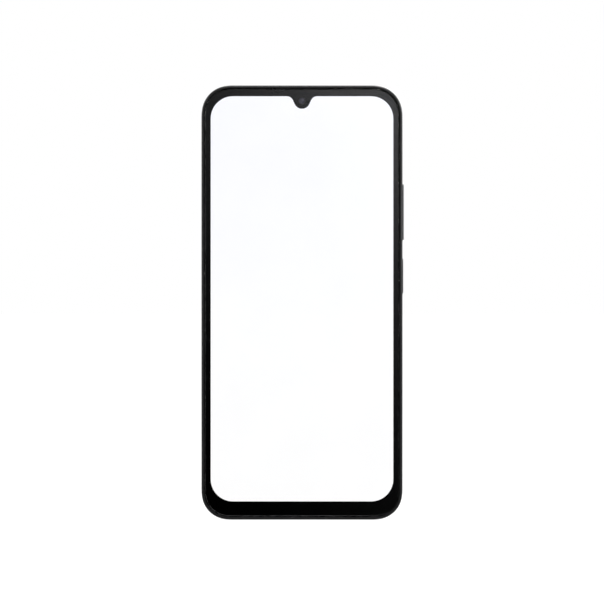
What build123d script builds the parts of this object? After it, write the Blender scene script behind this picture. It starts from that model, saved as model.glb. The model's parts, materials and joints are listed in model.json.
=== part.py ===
from build123d import *
import os
from math import cos, radians, sin

# A 6.7-inch smartphone with a drop notch, standing upright on its bottom edge.
# X runs to the right as the screen is faced, Y from the screen to the back, Z up.
# The origin is the centre of the flat bottom edge, half-way through the body's depth.
# All sizes are in millimetres.

# ---- Driving dimensions ----
WIDTH, HEIGHT, DEPTH = 77.8, 168.0, 8.1
FRONT_Y, BACK_Y = -DEPTH / 2, DEPTH / 2
HALF_W = WIDTH / 2

# Each corner is three tangent arcs, gentle, tight, gentle, so that it starts softly.
GENTLE_R, GENTLE_TURN = 17.0, 12.0
TOP_TIGHT_R, BOTTOM_TIGHT_R = 10.6, 10.0  # the top corners are a little rounder

# Steps inwards from the outline, seen from the front.
LIP_WIDTH = 0.98  # the frame's rim around the glass
GLASS_INSET = 1.32  # leaves a fine black groove between the rim and the glass
INK_INSET = 1.45
ADHESIVE_INSET, ADHESIVE_INNER = 1.5, 2.6
LEDGE_INNER = 2.75  # the ledge that carries the glass ends here
LCD_INSET = 3.0
PLATE_INSET = 1.6  # the metal plate is moulded this far into the frame
WALL = 2.0  # thickness of the side walls
BOARD_INSET = 2.7
BRACKET_INSET = 3.1
COVER_LIP_OUTER, COVER_LIP_INNER = 2.1, 2.9

FRAME_ROUND, COVER_ROUND, SEAM_CHAMFER, GLASS_ROUND = 0.7, 0.75, 0.12, 0.45


class Layer:
    """A flat layer between two depths, drawn on its back face and extruded towards the screen."""

    def __init__(self, front, back):
        self.front, self.back = front, back
        self.thick = back - front
        self.plane = Plane.XZ.offset(-back)


# ---- The layers, from the screen to the back ----
COVER_THICK = 0.9
SEAM_Y = BACK_Y - COVER_THICK  # where the rear cover meets the frame
FRAME = Layer(FRONT_Y, SEAM_Y)
GLASS = Layer(FRONT_Y, FRONT_Y + 0.7)
INK = Layer(GLASS.back + 0.02, GLASS.back + 0.07)
ADHESIVE = Layer(INK.back, INK.back + 0.15)
LCD = Layer(INK.back + 0.02, -2.50)
BACKLIGHT = Layer(LCD.back, -1.88)
PLATE = Layer(-1.85, -1.35)
TAPE = Layer(PLATE.back, PLATE.back + 0.1)
BATTERY = Layer(TAPE.back, 3.0)
SUB_BOARD = Layer(-0.35, 0.25)
MAIN_BOARD = Layer(0.0, 0.7)
BRACKET = Layer(2.1, 2.9)
COVER = Layer(SEAM_Y, BACK_Y)
COVER_LIP = Layer(SEAM_Y - 0.9, SEAM_Y)

# ---- Display window and its notch ----
ACTIVE_W, ACTIVE_BOTTOM, ACTIVE_TOP, ACTIVE_R = 70.65, 7.06, 163.8, 8.6
LCD_TOP = 164.5
NOTCH_R, NOTCH_Z, NOTCH_SHOULDER_R = 3.1, 162.05, 2.6
NOTCH_TANGENT = (2.832, 160.79)  # where the flank, 24 degrees off vertical, leaves the arc
NOTCH_TOP_HALF = 4.217
FRONT_CAMERA = (0.0, 162.15)
CUTOUT_R = 2.7  # the panel's own cut-out around the camera barrel
SLIT_HALF, SLIT_RAMP, SLIT_FLOOR_Z = 11.6, 1.2, HEIGHT - 1.7  # the earpiece recess in the glass

# ---- Ports on the bottom and top edges ----
PORT_Y = 0.3
USB_W, USB_H, USB_DEPTH = 8.94, 3.26, 7.6
USB_INNER_W, USB_INNER_H = 8.34, 2.56
SPEAKER_HOLES = [(13.6 + 2.6 * i, PORT_Y) for i in range(6)]
BOTTOM_MIC, TOP_MIC = (-11.5, 0.7), (10.0, 1.1)
JACK_X, JACK_R, JACK_LENGTH = -22.0, 1.8, 11.9

# ---- Side keys, on the right ----
KEY_Y, KEY_W = 0.1, 2.4
ROCKER_Z, ROCKER_L, ROCKER_PROUD = 119.1, 21.7, 0.55
POWER_Z, POWER_L, POWER_PROUD = 94.3, 13.6, 0.35
KEY_GAP = 0.08
ROCKER_NUB = 6.5  # distance of each of the rocker's nubs from its middle
NUB_X, FLEX_X, STRIP_X = 36.6, 36.1, 35.95  # nub tips, dome seats, and back of the key flex

# ---- SIM tray, on the left ----
SIM_Y, SIM_Z = -0.65, 136.0
TRAY_W, TRAY_T, TRAY_END_X = 14.6, 1.0, -4.6
TRAY_FACE_L, TRAY_FACE_W, TRAY_FACE_T = 20.0, 2.6, 1.2
PIN_Z, PIN_R = SIM_Z - 8.4, 0.45
LEVER_X, LEVER_Z, LEVER_ARM = -2.4, PIN_Z + 4.2, 4.8

# ---- Rear cameras and flash ----
MAIN_CAMERA, SECOND_CAMERA, FLASH = (25.2, 150.0), (25.2, 128.6), (12.9, 139.3)
CAMERAS = (MAIN_CAMERA, SECOND_CAMERA)
RING_R, RING_FLANGE_R, RING_HOLE_R, WINDOW_R = 8.25, 9.1, 4.6, 6.8
RING = Layer(SEAM_Y, BACK_Y + 1.45)
WINDOW = Layer(RING.back - 0.74, RING.back - 0.2)

# ---- Fixings ----
UPPER_SCREWS = [(-31.0, 121.5), (-31.0, 149.5), (13.5, 121.5), (13.5, 158.0), (32.0, 139.3)]
LOWER_SCREWS = [(-31.5, 19.0), (4.5, 19.5), (12.0, 19.5), (33.0, 19.5)]
SCREW_SEAT = 1.2
SCREW_R, SCREW_HEAD_R, SCREW_HEAD_T = 0.68, 1.25, 0.6
BOSS_R, THREAD_R, POST_R = 1.7, 0.7, 2.2
MOTOR = (-27.0, 12.0)
SPEAKER = (21.5, 9.9)
RECEIVER = (-10.8, 160.7)
MAIN_FLEX_X, MAIN_FLEX_W, FLEX_T = -8.0, 12.0, 0.1

# Snap hooks of the rear cover: on both long sides, then on the bottom and top edges.
SNAP_L, SNAP_W = 6.0, 0.5
SIDE_SNAP_Z = (24.0, 54.0, 80.0, 106.0, 140.0)
END_SNAP_X = {0.0: (-20.0, 20.0), HEIGHT: (-8.0, 12.0)}
SNAP_Y = COVER_LIP.front + 0.35


# ---- Shared shapes ----
def phone_outline(inset=0.0):
    """The body's outline, or one parallel to it that lies inset further in."""
    gentle, turn = GENTLE_R - inset, GENTLE_TURN
    top, bottom = TOP_TIGHT_R - inset, BOTTOM_TIGHT_R - inset

    def reach(tight):
        """How far from the sharp corner the rounding starts."""
        return tight + (gentle - tight) * (1 + sin(radians(turn)) - cos(radians(turn)))

    width, height = 2 * (HALF_W - inset), HEIGHT - 2 * inset
    with BuildSketch() as outline:
        with BuildLine():
            point, heading = Vector(HALF_W - inset, inset + reach(bottom)), Vector(0, 1)
            # Up the right side, across the top, down the left side and back along the bottom.
            sides = ((height, bottom, top), (width, top, top), (height, top, bottom), (width, bottom, bottom))
            for length, before, after in sides:
                run = Line(point, point + heading * (length - reach(before) - reach(after)))
                first = JernArc(run @ 1, run % 1, gentle, turn)
                middle = JernArc(first @ 1, first % 1, after, 90 - 2 * turn)
                last = JernArc(middle @ 1, middle % 1, gentle, turn)
                point, heading = last @ 1, last % 1
        make_face()
    return outline.sketch


def span(x0, x1, z0, z1, mode=Mode.ADD):
    """A rectangle between two X and two Z values, in a sketch drawn on a layer's plane."""
    with Locations(((x0 + x1) / 2, (z0 + z1) / 2)):
        Rectangle(x1 - x0, z1 - z0, mode=mode)


def block(x, y, z, mode=Mode.ADD):
    """A box between pairs of X, Y and Z values."""
    with Locations([(sum(x) / 2, sum(y) / 2, sum(z) / 2)]):
        Box(x[1] - x[0], y[1] - y[0], z[1] - z[0], mode=mode)


def ribbon(points, x0, x1):
    """A flex cable: a strip of FLEX_T from x0 to x1, whose front face follows (y, z) points."""
    back = [(y + FLEX_T, z) for y, z in reversed(points)]
    with BuildSketch(Plane.YZ.offset(x0)) as section:
        with BuildLine():
            Polyline(*points, *back, close=True)
        make_face()
    extrude(section.sketch, amount=x1 - x0)


def snap_boxes(gap, reach, mode):
    """The snap hooks along the cover's lip, grown by gap and standing out to an inset of reach."""
    length, width = SNAP_L + 2 * gap, SNAP_W + 2 * gap
    root = COVER_LIP_OUTER + 0.1
    middle, depth = (root + reach) / 2, root - reach
    for z in SIDE_SNAP_Z:
        with Locations(*[(side * (HALF_W - middle), SNAP_Y, z) for side in (-1, 1)]):
            Box(depth, width, length, mode=mode)
    for edge, places in END_SNAP_X.items():
        inwards = middle if edge == 0.0 else -middle
        with Locations(*[(x, SNAP_Y, edge + inwards) for x in places]):
            Box(length, width, depth, mode=mode)


pieces = {}

# ==== Casing ====

with BuildPart() as side_frame:
    with BuildSketch(FRAME.plane):
        add(phone_outline())
    extrude(amount=FRAME.thick)
    fillet(side_frame.faces().sort_by(Axis.Y)[0].edges(), radius=FRAME_ROUND)
    chamfer(side_frame.faces().sort_by(Axis.Y)[-1].edges(), length=SEAM_CHAMFER)
    # The steps inside: glass recess, display opening, plate groove and rear cavity.
    hollows = [
        (LIP_WIDTH, Layer(FRONT_Y, ADHESIVE.back)),
        (LEDGE_INNER, Layer(ADHESIVE.back, PLATE.front)),
        (PLATE_INSET, PLATE),
        (WALL, Layer(PLATE.back, SEAM_Y)),
    ]
    for inset, hollow in hollows:
        with BuildSketch(hollow.plane):
            add(phone_outline(inset))
        extrude(amount=hollow.thick, mode=Mode.SUBTRACT)
    # Bottom edge: charging port, loudspeaker holes and microphone hole.
    with BuildSketch(Plane.XY):
        with Locations((0, PORT_Y)):
            SlotOverall(USB_W + 0.16, USB_H + 0.16)
        with Locations(*SPEAKER_HOLES):
            Circle(0.75)
        with Locations(BOTTOM_MIC):
            Circle(0.5)
    extrude(amount=WALL + 0.2, mode=Mode.SUBTRACT)
    # Top edge: headphone jack and the second microphone's hole.
    with BuildSketch(Plane.XY.offset(HEIGHT)):
        with Locations((JACK_X, PORT_Y)):
            Circle(JACK_R + 0.1)
        with Locations(TOP_MIC):
            Circle(0.45)
    extrude(amount=-WALL - 0.2, mode=Mode.SUBTRACT)
    # Left wall: a pocket for the tray's face, the tray's slot and the eject pin's hole.
    with BuildSketch(Plane.YZ.offset(-HALF_W)):
        with Locations((SIM_Y, SIM_Z)):
            SlotOverall(TRAY_FACE_L + 0.16, TRAY_FACE_W + 0.16, rotation=90)
    extrude(amount=TRAY_FACE_T + 0.3, mode=Mode.SUBTRACT)
    with BuildSketch(Plane.YZ.offset(-HALF_W)):
        with Locations((SIM_Y, SIM_Z)):
            Rectangle(TRAY_T + 0.2, TRAY_W + 0.3)
        with Locations((SIM_Y, PIN_Z)):
            Circle(PIN_R + 0.1)
    extrude(amount=WALL + 0.1, mode=Mode.SUBTRACT)
    # Right wall: the two key slots, and a pocket behind each for its flange.
    with BuildSketch(Plane.YZ.offset(HALF_W + 0.1)):
        with Locations((KEY_Y, ROCKER_Z)):
            SlotOverall(ROCKER_L + 0.3, KEY_W + 2 * KEY_GAP, rotation=90)
        with Locations((KEY_Y, POWER_Z)):
            SlotOverall(POWER_L + 0.2, KEY_W + 2 * KEY_GAP, rotation=90)
    extrude(amount=-WALL - 0.2, mode=Mode.SUBTRACT)
    for outer_x, z, half_l in ((37.7, ROCKER_Z, 4.7), (37.65, POWER_Z, 7.9)):
        pocket_y = (KEY_Y - 1.33, KEY_Y + 1.33)
        block((HALF_W - WALL - 0.1, outer_x), pocket_y, (z - half_l, z + half_l), Mode.SUBTRACT)
    # Sound path of the earpiece and window of the light sensor, through the upper ledge.
    block((-11.4, -6.6), (ADHESIVE.back, PLATE.front), (HEIGHT - 2.9, HEIGHT - 1.5), Mode.SUBTRACT)
    block((7.6, 11.4), (ADHESIVE.back, PLATE.front), (HEIGHT - 2.9, HEIGHT - 1.9), Mode.SUBTRACT)
    snap_boxes(gap=0.05, reach=1.7, mode=Mode.SUBTRACT)
pieces["side_frame"] = side_frame

with BuildPart() as mid_plate:
    with BuildSketch(PLATE.plane):
        add(phone_outline(PLATE_INSET))
        with Locations(FRONT_CAMERA):
            Rectangle(7.0, 7.0, mode=Mode.SUBTRACT)
        span(JACK_X - 3.6, JACK_X + 3.6, 152.3, HEIGHT, Mode.SUBTRACT)
        span(-11.4, -6.6, 164.6, 165.9, Mode.SUBTRACT)  # earpiece sound path
        span(7.6, 11.4, 164.6, 165.9, Mode.SUBTRACT)  # light sensor
        span(-22.4, -7.6, 3.5, 5.0, Mode.SUBTRACT)  # display flex
        with GridLocations(14.0, 26.0, 4, 3):  # lightening holes behind the battery
            with Locations((0, 68.0)):
                SlotOverall(8.0, 2.0, mode=Mode.SUBTRACT)
    extrude(amount=PLATE.thick)
    for screws, top in ((UPPER_SCREWS, MAIN_BOARD.front), (LOWER_SCREWS, SUB_BOARD.front)):
        boss = Layer(PLATE.back, top)
        with BuildSketch(boss.plane):
            with Locations(*screws):
                Circle(BOSS_R)
        extrude(amount=boss.thick)
        with BuildSketch(boss.plane):
            with Locations(*screws):
                Circle(THREAD_R)
        extrude(amount=boss.thick, mode=Mode.SUBTRACT)
pieces["mid_plate"] = mid_plate

with BuildPart() as rear_cover:
    with BuildSketch(COVER.plane):
        add(phone_outline())
    extrude(amount=COVER.thick)
    fillet(rear_cover.faces().sort_by(Axis.Y)[-1].edges(), radius=COVER_ROUND)
    chamfer(rear_cover.faces().sort_by(Axis.Y)[0].edges(), length=SEAM_CHAMFER)
    with BuildSketch(COVER_LIP.plane):
        add(phone_outline(COVER_LIP_OUTER))
        add(phone_outline(COVER_LIP_INNER), mode=Mode.SUBTRACT)
        span(JACK_X - 3.8, JACK_X + 3.8, HEIGHT - 4, HEIGHT, Mode.SUBTRACT)
    extrude(amount=COVER_LIP.thick)
    snap_boxes(gap=0.0, reach=1.8, mode=Mode.ADD)
    with BuildSketch(COVER.plane):
        with Locations(*CAMERAS):
            Circle(RING_R + 0.08)
        with Locations(FLASH):
            Circle(2.58)
    extrude(amount=COVER.thick, mode=Mode.SUBTRACT)
pieces["rear_cover"] = rear_cover

# ==== Screen ====

with BuildPart() as cover_glass:
    with BuildSketch(GLASS.plane):
        add(phone_outline(GLASS_INSET))
    extrude(amount=GLASS.thick)
    fillet(cover_glass.faces().sort_by(Axis.Y)[0].edges(), radius=GLASS_ROUND)
    chamfer(cover_glass.faces().sort_by(Axis.Y)[-1].edges(), length=0.08)
    with BuildSketch(GLASS.plane):  # the recess in the top edge that makes the earpiece slit
        with BuildLine():
            slit_top = HEIGHT - GLASS_INSET + 0.5
            floor_half = SLIT_HALF - SLIT_RAMP
            Polyline(
                (-SLIT_HALF, slit_top),
                (-SLIT_HALF, HEIGHT - GLASS_INSET - 0.02),
                (-floor_half, SLIT_FLOOR_Z),
                (floor_half, SLIT_FLOOR_Z),
                (SLIT_HALF, HEIGHT - GLASS_INSET - 0.02),
                (SLIT_HALF, slit_top),
                close=True,
            )
        make_face()
    extrude(amount=GLASS.thick, mode=Mode.SUBTRACT)
pieces["cover_glass"] = cover_glass

# The window in the printed border has soft corners, and a drop notch in its top edge.
with BuildSketch() as window:
    with Locations((0, (ACTIVE_BOTTOM + ACTIVE_TOP) / 2)):
        RectangleRounded(ACTIVE_W, ACTIVE_TOP - ACTIVE_BOTTOM, ACTIVE_R)
    with BuildLine():
        above = ACTIVE_TOP + 1
        Polyline(
            (-NOTCH_TOP_HALF, above),
            (-NOTCH_TOP_HALF, ACTIVE_TOP),
            (-NOTCH_TANGENT[0], NOTCH_TANGENT[1]),
            NOTCH_TANGENT,
            (NOTCH_TOP_HALF, ACTIVE_TOP),
            (NOTCH_TOP_HALF, above),
            close=True,
        )
    make_face(mode=Mode.SUBTRACT)
    with Locations((0, NOTCH_Z)):
        Circle(NOTCH_R, mode=Mode.SUBTRACT)
    shoulders = [v for v in window.vertices() if abs(abs(v.X) - NOTCH_TOP_HALF) < 0.01]
    fillet(shoulders, radius=NOTCH_SHOULDER_R)

with BuildPart() as border_mask:
    with BuildSketch(INK.plane):
        add(phone_outline(INK_INSET))
        span(-SLIT_HALF, SLIT_HALF, SLIT_FLOOR_Z - 0.05, HEIGHT, Mode.SUBTRACT)
        add(window.sketch, mode=Mode.SUBTRACT)
        with Locations(FRONT_CAMERA):
            Circle(1.5, mode=Mode.SUBTRACT)
    extrude(amount=INK.thick)
pieces["border_mask"] = border_mask

with BuildPart() as display_adhesive:
    with BuildSketch(ADHESIVE.plane):
        add(phone_outline(ADHESIVE_INSET))
        add(phone_outline(ADHESIVE_INNER), mode=Mode.SUBTRACT)
        span(-SLIT_HALF, SLIT_HALF, HEIGHT - 3, HEIGHT, Mode.SUBTRACT)
    extrude(amount=ADHESIVE.thick)
pieces["display_adhesive"] = display_adhesive


def panel(layer, bottom):
    """A display layer with the cut-out for the front camera, from bottom to the panel's top edge."""
    with BuildPart() as sheet:
        with BuildSketch(layer.plane):
            add(phone_outline(LCD_INSET))
            span(-HALF_W, HALF_W, bottom, LCD_TOP, Mode.INTERSECT)
            with Locations(FRONT_CAMERA):
                Circle(CUTOUT_R, mode=Mode.SUBTRACT)
            span(-CUTOUT_R, CUTOUT_R, FRONT_CAMERA[1], HEIGHT, Mode.SUBTRACT)
        extrude(amount=layer.thick)
    return sheet


pieces["lcd_panel"] = panel(LCD, bottom=LCD_INSET)
pieces["backlight_unit"] = panel(BACKLIGHT, bottom=6.5)

with BuildPart() as display_flex:
    # Folds from the panel's lower edge through the plate and up to the lower board.
    outside = [(-2.5, 6.3), (-2.5, 4.1), (-1.17, 4.1), (-1.17, 13.0)]
    inside = [(-1.17 - FLEX_T, 13.0), (-1.17 - FLEX_T, 4.2), (-2.4, 4.2), (-2.4, 6.3)]
    with BuildSketch(Plane.YZ.offset(-22.0)):
        with BuildLine():
            Polyline(*outside, *inside, close=True)
        make_face()
    extrude(amount=14.0)
pieces["display_flex"] = display_flex

# ==== Front camera, earpiece and light sensor ====

with BuildPart() as front_camera_module:
    with BuildSketch(Layer(-1.8, 1.2).plane):
        with Locations(FRONT_CAMERA):
            RectangleRounded(6.4, 6.4, 0.4)
    extrude(amount=3.0)
    with BuildSketch(Plane.XZ.offset(1.8)):
        with Locations(FRONT_CAMERA):
            Circle(2.3)
    extrude(amount=1.3)
    with BuildSketch(Plane.XZ.offset(3.1)):  # the barrel's dished mouth
        with Locations(FRONT_CAMERA):
            Circle(1.7)
    extrude(amount=-0.5, taper=25, mode=Mode.SUBTRACT)
    with BuildSketch(Plane.XZ.offset(2.6)):
        with Locations(FRONT_CAMERA):
            Circle(1.2)
    extrude(amount=-0.8, mode=Mode.SUBTRACT)
pieces["front_camera_module"] = front_camera_module

with BuildPart() as front_camera_lens:
    with BuildSketch(Layer(-2.4, -1.8).plane):
        with Locations(FRONT_CAMERA):
            Circle(1.18)
    extrude(amount=0.6)
    fillet(front_camera_lens.faces().sort_by(Axis.Y)[0].edges(), radius=0.35)
pieces["front_camera_lens"] = front_camera_lens

with BuildPart() as earpiece_mesh:
    mesh_half = SLIT_HALF - SLIT_RAMP - 0.2
    block((-mesh_half, mesh_half), (-3.9, -3.6), (SLIT_FLOOR_Z + 0.06, HEIGHT - LIP_WIDTH - 0.06))
pieces["earpiece_mesh"] = earpiece_mesh


def moving_coil(centre, plate, plate_layer, coil, coil_wall, coil_layer):
    """A diaphragm plate with its voice coil, a rectangular tube, fixed to its back."""
    with BuildPart() as cone:
        with BuildSketch(plate_layer.plane):
            with Locations(centre):
                RectangleRounded(*plate, 1.0)
        extrude(amount=plate_layer.thick)
        with BuildSketch(coil_layer.plane):
            with Locations(centre):
                RectangleRounded(*coil, 0.6)
                RectangleRounded(coil[0] - 2 * coil_wall, coil[1] - 2 * coil_wall, 0.3, mode=Mode.SUBTRACT)
        extrude(amount=coil_layer.thick)
    return cone


with BuildPart() as earpiece_receiver:
    with BuildSketch(Layer(-1.3, 1.5).plane):
        with Locations(RECEIVER):
            RectangleRounded(13.0, 6.8, 0.6)
    extrude(amount=2.8)
    with BuildSketch(Layer(-1.0, 1.1).plane):
        with Locations(RECEIVER):
            RectangleRounded(12.2, 6.0, 0.5)
            RectangleRounded(5.0, 1.8, 0.2, mode=Mode.SUBTRACT)
    extrude(amount=1.1, mode=Mode.SUBTRACT)
    with BuildSketch(Plane.XZ):
        with Locations(RECEIVER):
            RectangleRounded(12.2, 6.0, 0.5)
    extrude(amount=1.0, mode=Mode.SUBTRACT)
    block((-11.4, -6.6), (-1.4, -0.9), (161.9, 163.6), Mode.SUBTRACT)  # sound outlet
pieces["earpiece_receiver"] = earpiece_receiver
pieces["earpiece_diaphragm"] = moving_coil(
    RECEIVER, (11.6, 5.4), Layer(-0.45, -0.3), (6.8, 3.6), 0.5, Layer(-0.3, 0.7)
)

with BuildPart() as light_sensor:
    block((8.0, 11.0), (-3.08, -2.3), (HEIGHT - 3.2, HEIGHT - 2.1))
    block((8.4, 10.6), (-2.3, MAIN_BOARD.front), (HEIGHT - 3.1, HEIGHT - 3.0))
pieces["light_sensor"] = light_sensor

# ==== Rear cameras and flash ====

with BuildPart() as camera_rings:
    with BuildSketch(RING.plane):
        with Locations(*CAMERAS):
            Circle(RING_R)
    extrude(amount=RING.thick)
    fillet(camera_rings.faces().filter_by(Axis.Y).sort_by(Axis.Y)[-2:].edges(), radius=0.45)
    flange = Layer(SEAM_Y - 0.2, SEAM_Y)
    with BuildSketch(flange.plane):  # the flange that holds each ring behind the cover
        with Locations(*CAMERAS):
            Circle(RING_FLANGE_R)
    extrude(amount=flange.thick)
    with BuildSketch(RING.plane):
        with Locations(*CAMERAS):
            Circle(RING_HOLE_R)
    extrude(amount=RING.thick + flange.thick, mode=Mode.SUBTRACT)
    seat = Layer(WINDOW.front, RING.back)
    with BuildSketch(seat.plane):
        with Locations(*CAMERAS):
            Circle(WINDOW_R + 0.05)
    extrude(amount=seat.thick, mode=Mode.SUBTRACT)
pieces["camera_rings"] = camera_rings

with BuildPart() as camera_windows:
    with BuildSketch(WINDOW.plane):
        with Locations(*CAMERAS):
            Circle(WINDOW_R)
    extrude(amount=WINDOW.thick)
pieces["camera_windows"] = camera_windows

with BuildPart() as main_camera_housing:
    body = Layer(PLATE.back + 0.05, 2.9)
    with BuildSketch(body.plane):
        with Locations(MAIN_CAMERA):
            RectangleRounded(9.6, 9.6, 0.6)
    extrude(amount=body.thick)
    with BuildSketch(body.plane):
        with Locations(MAIN_CAMERA):
            Circle(3.33)
    extrude(amount=2.6, mode=Mode.SUBTRACT)
pieces["main_camera_housing"] = main_camera_housing

with BuildPart() as main_camera_barrel:
    barrel = Layer(0.5, 3.9)
    with BuildSketch(barrel.plane):
        with Locations(MAIN_CAMERA):
            Circle(3.25)
    extrude(amount=barrel.thick)
    with BuildSketch(barrel.plane):
        with Locations(MAIN_CAMERA):
            Circle(2.7)
    extrude(amount=0.8, taper=30, mode=Mode.SUBTRACT)
pieces["main_camera_barrel"] = main_camera_barrel

with BuildPart() as second_camera_module:
    body = Layer(MAIN_BOARD.back, 2.9)
    with BuildSketch(body.plane):
        with Locations(SECOND_CAMERA):
            RectangleRounded(6.6, 6.6, 0.4)
    extrude(amount=body.thick)
    barrel = Layer(body.back, 3.9)
    with BuildSketch(barrel.plane):
        with Locations(SECOND_CAMERA):
            Circle(2.5)
    extrude(amount=barrel.thick)
    with BuildSketch(barrel.plane):
        with Locations(SECOND_CAMERA):
            Circle(2.0)
    extrude(amount=0.7, taper=30, mode=Mode.SUBTRACT)
pieces["second_camera_module"] = second_camera_module

with BuildPart() as flash_window:
    glass = Layer(SEAM_Y + 0.1, BACK_Y)
    with BuildSketch(glass.plane):
        with Locations(FLASH):
            Circle(2.5)
    extrude(amount=glass.thick)
    chamfer(flash_window.faces().sort_by(Axis.Y)[-1].edges(), length=0.12)
pieces["flash_window"] = flash_window

with BuildPart() as flash_led:
    for half, y in ((1.7, (MAIN_BOARD.back, 2.85)), (1.1, (2.85, 3.15))):
        block((FLASH[0] - half, FLASH[0] + half), y, (FLASH[1] - half, FLASH[1] + half))
pieces["flash_led"] = flash_led

# ==== Boards and what they carry ====

with BuildPart() as main_board:
    with BuildSketch(MAIN_BOARD.plane):
        add(phone_outline(BOARD_INSET))
        span(-HALF_W, 34.4, 117.0, HEIGHT, Mode.INTERSECT)
        with Locations(MAIN_CAMERA):
            Rectangle(10.4, 10.4, mode=Mode.SUBTRACT)
        span(JACK_X - 4.0, JACK_X + 4.0, 152.2, HEIGHT, Mode.SUBTRACT)
        span(JACK_X + 3.5, 4.2, 156.5, HEIGHT, Mode.SUBTRACT)
        with Locations(*UPPER_SCREWS):
            Circle(0.85, mode=Mode.SUBTRACT)
    extrude(amount=MAIN_BOARD.thick)
pieces["main_board"] = main_board

with BuildPart() as sub_board:
    with BuildSketch(SUB_BOARD.plane):
        add(phone_outline(BOARD_INSET))
        span(-HALF_W, 7.0, 0.0, 22.0, Mode.INTERSECT)
        span(-USB_W / 2 - 0.15, USB_W / 2 + 0.15, 0.0, USB_DEPTH + 0.2, Mode.SUBTRACT)
        with Locations(MOTOR):
            Circle(4.3, mode=Mode.SUBTRACT)
        with Locations(*LOWER_SCREWS[:2]):
            Circle(0.85, mode=Mode.SUBTRACT)
    extrude(amount=SUB_BOARD.thick)
pieces["sub_board"] = sub_board


with BuildPart() as shield_cans:
    # Folded sheet-metal cans, one on each side of the board and open towards it.
    sheet = 0.15
    rear, front = Layer(MAIN_BOARD.back, 2.0), Layer(-1.25, MAIN_BOARD.front)
    for x, z, layer, inside in (
        ((-28.0, 8.0), (128.0, 150.5), rear, (rear.front, rear.back - sheet)),
        ((2.5, 18.5), (126.0, 153.0), front, (front.front + sheet, front.back)),
    ):
        block(x, (layer.front, layer.back), z)
        block((x[0] + sheet, x[1] - sheet), inside, (z[0] + sheet, z[1] - sheet), Mode.SUBTRACT)
pieces["shield_cans"] = shield_cans

with BuildPart() as processor:
    block((-14.5, -1.5), (MAIN_BOARD.back, 1.6), (132.5, 145.5))
pieces["processor"] = processor

with BuildPart() as board_chips:
    # Storage, power control, charger and radio parts, as (x, z, width, height, thickness).
    rear_chips = [(-21.5, 139.0, 11.5, 13.0, 0.9), (3.2, 145.6, 6.5, 6.5, 0.7), (3.2, 134.0, 5.0, 5.0, 0.7)]
    front_chips = [(7.0, 147.5, 5.0, 6.5, 0.7), (13.8, 147.5, 5.5, 5.5, 0.7), (10.4, 134.5, 9.0, 9.0, 0.8)]
    for x, z, w, h, t in rear_chips:
        block((x - w / 2, x + w / 2), (MAIN_BOARD.back, MAIN_BOARD.back + t), (z - h / 2, z + h / 2))
    for x, z, w, h, t in front_chips:
        block((x - w / 2, x + w / 2), (MAIN_BOARD.front - t, MAIN_BOARD.front), (z - h / 2, z + h / 2))
pieces["board_chips"] = board_chips

with BuildPart() as board_connectors:
    # Board-to-board sockets, as (x, z, width, depth layer).
    sockets = [
        (MAIN_FLEX_X, 121.0, 10.0, Layer(MAIN_BOARD.back, 1.5)),
        (4.5, 121.0, 4.4, Layer(MAIN_BOARD.back, 1.5)),
        (MAIN_FLEX_X, 18.2, 10.0, Layer(SUB_BOARD.back, 1.05)),
        (-15.0, 11.5, 10.0, Layer(-1.15, SUB_BOARD.front)),
        (17.0, 164.0, 4.0, Layer(MAIN_BOARD.back, 1.5)),
    ]
    for x, z, w, layer in sockets:
        block((x - w / 2, x + w / 2), (layer.front, layer.back), (z - 1.3, z + 1.3))
    for z in (154.6, 157.2, 159.8, 162.4):  # terminals of the headphone jack
        block((JACK_X - 5.2, JACK_X - 3.3), (MAIN_BOARD.back, MAIN_BOARD.back + 0.15), (z - 0.5, z + 0.5))
pieces["board_connectors"] = board_connectors

with BuildPart() as microphones:
    places = [(BOTTOM_MIC[0], (SUB_BOARD.back, 1.15), 4.6), (TOP_MIC[0], (MAIN_BOARD.back, 1.6), 163.6)]
    for x, y, z in places:
        block((x - 1.5, x + 1.5), y, (z - 1.2, z + 1.2))
pieces["microphones"] = microphones

# ==== Ports ====

with BuildPart() as usb_shell:
    mouth_z = 0.3
    with BuildSketch(Plane.XY.offset(mouth_z)):
        with Locations((0, PORT_Y)):
            SlotOverall(USB_W, USB_H)
            SlotOverall(USB_INNER_W, USB_INNER_H, mode=Mode.SUBTRACT)
    extrude(amount=USB_DEPTH - mouth_z)
pieces["usb_shell"] = usb_shell

with BuildPart() as usb_tongue:
    with BuildSketch(Plane.XY.offset(6.2)):
        with Locations((0, PORT_Y)):
            SlotOverall(USB_INNER_W, USB_INNER_H)
    extrude(amount=USB_DEPTH - 6.2)
    block((-3.35, 3.35), (PORT_Y - 0.35, PORT_Y + 0.35), (1.5, 6.2))
pieces["usb_tongue"] = usb_tongue

with BuildPart() as headphone_jack:
    block((JACK_X - 3.3, JACK_X + 3.3), (PORT_Y - 2.1, PORT_Y + 2.1), (152.6, HEIGHT - WALL - 0.1))
    fillet(headphone_jack.edges().filter_by(Axis.Z), radius=0.5)
    with BuildSketch(Plane.XY.offset(HEIGHT - WALL - 0.1)):
        with Locations((JACK_X, PORT_Y)):
            Circle(JACK_R)
    extrude(amount=-JACK_LENGTH, mode=Mode.SUBTRACT)
pieces["headphone_jack"] = headphone_jack

# ==== Loudspeaker and vibration motor ====

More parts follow.
